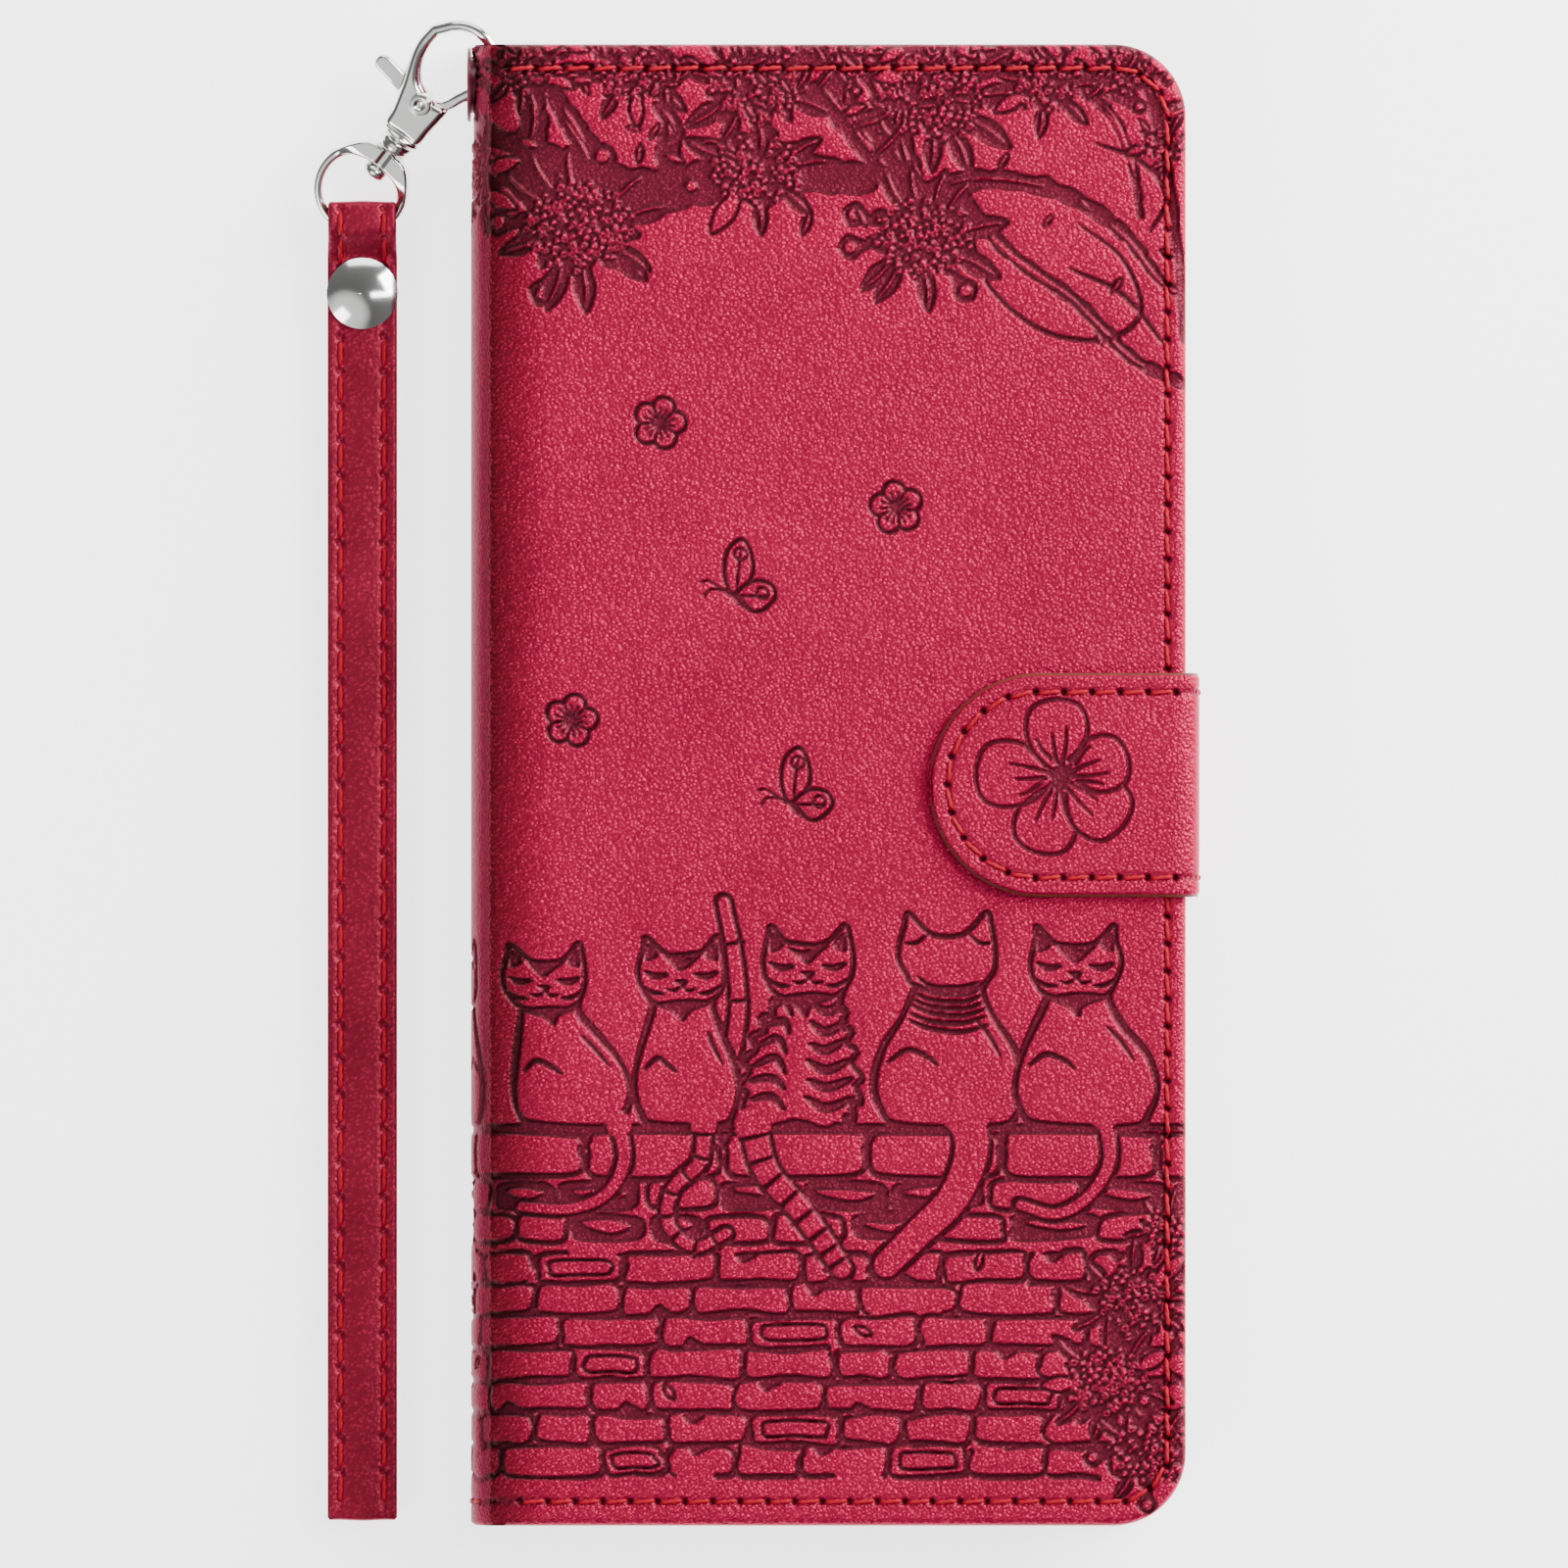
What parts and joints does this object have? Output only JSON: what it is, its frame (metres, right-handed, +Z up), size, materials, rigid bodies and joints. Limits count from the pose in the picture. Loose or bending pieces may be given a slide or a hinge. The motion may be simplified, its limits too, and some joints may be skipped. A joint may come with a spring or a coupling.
{
  "type": "phone wallet case",
  "caption": "Book-style leather phone case with soft phone tray, card slots, magnetic clasp and a riveted wrist strap on a swivel trigger hook.",
  "frame": {"origin": "middle of the back cover's outer face, closed and lying on its back cover", "axes": "+X towards the free edge with the clasp, +Y towards the top of the phone, +Z up through the thickness to the front cover"},
  "size_m": [0.0996, 0.1691, 0.0194],
  "materials": {
    "outer_leather": "satin, fine pebbled grain",
    "spine_leather": "satin, fine pebbled grain",
    "strap_leather": "satin, wrinkled grain",
    "strap_backing": "matte",
    "lining": "matte, smooth",
    "pocket_leather": "satin, fine grain",
    "board": "matte fibre board",
    "adhesive": "matte",
    "shell": "satin soft plastic",
    "thread": "twisted thread",
    "metal": "polished nickel plate",
    "magnet": "plated",
    "spring": "wire"
  },
  "bodies": {
    "back_cover": {"back_outer_leather": "outer_leather", "back_board": "board", "back_lining": "lining", "shell_adhesive": "adhesive", "phone_shell": "shell", "back_stitching": "thread", "clasp_base_leather": "outer_leather"},
    "spine": {"spine_outer_leather": "spine_leather", "spine_lining": "lining", "spine_stitching": "thread", "eyelet": "metal", "eyelet_washer": "metal"},
    "front_cover": {"front_outer_leather": "outer_leather", "front_board": "board", "front_magnet": "magnet", "front_lining": "lining", "cash_pocket_panel": "pocket_leather", "card_slot_1": "pocket_leather", "card_slot_2": "pocket_leather", "card_slot_3": "pocket_leather", "front_stitching": "thread"},
    "clasp_side": {"clasp_side_leather": "outer_leather", "clasp_side_stitching": "thread"},
    "clasp_tab": {"clasp_tab_leather": "outer_leather", "clasp_tab_lining": "lining", "clasp_magnet": "magnet", "clasp_tab_stitching": "thread"},
    "hook": {"hook_body": "metal", "trigger_rivet": "metal", "trigger_spring": "spring", "swivel_pin": "metal"},
    "trigger": {"trigger_lever": "metal"},
    "swivel_eye": {"swivel_eye": "metal"},
    "wrist_strap": {"strap_outer_leather": "strap_leather", "strap_lining": "strap_backing", "strap_rivet_cap": "metal", "strap_rivet_post": "metal", "strap_rivet_base": "metal", "strap_stitching": "thread"}
  },
  "joints": [
    {"name": "spine_fold", "type": "hinge", "parent": "back_cover", "child": "spine", "pos_m": [-0.03793, 0, 0], "axis": [0, -1, 0], "range_deg": [0, 150]},
    {"name": "cover_fold", "type": "hinge", "parent": "spine", "child": "front_cover", "pos_m": [-0.03793, 0, 0.0175], "axis": [0, -1, 0], "range_deg": [0, 180]},
    {"name": "clasp_side_fold", "type": "hinge", "parent": "back_cover", "child": "clasp_side", "pos_m": [0.04115, 0, 0.0014], "axis": [0, 1, 0], "range_deg": [0, 90]},
    {"name": "clasp_tab_fold", "type": "hinge", "parent": "clasp_side", "child": "clasp_tab", "pos_m": [0.04115, 0, 0.0181], "axis": [0, 1, 0], "range_deg": [0, 100]},
    {"name": "hook_swing", "type": "hinge", "parent": "spine", "child": "hook", "pos_m": [-0.0415, 0.0813, 0.00856], "axis": [-0.1483, -0.1911, 0.9703], "range_deg": [-15, 2]},
    {"name": "trigger_pull", "type": "hinge", "parent": "hook", "child": "trigger", "pos_m": [-0.04567, 0.07674, 0.00703], "axis": [-0.1483, -0.1911, 0.9703], "range_deg": [0, 10], "stiffness_Nm_per_rad": 0.005, "springref_deg": -5.73},
    {"name": "ring_swivel", "type": "hinge", "parent": "hook", "child": "swivel_eye", "pos_m": [-0.0415, 0.0813, 0.00856], "axis": [-0.595, -0.7665, -0.2419], "continuous": true},
    {"name": "strap_swing", "type": "hinge", "parent": "swivel_eye", "child": "wrist_strap", "pos_m": [-0.0524, 0.0633, 0.0038], "axis": [-1, 0, 0], "range_deg": [0, 6]}
  ]
}
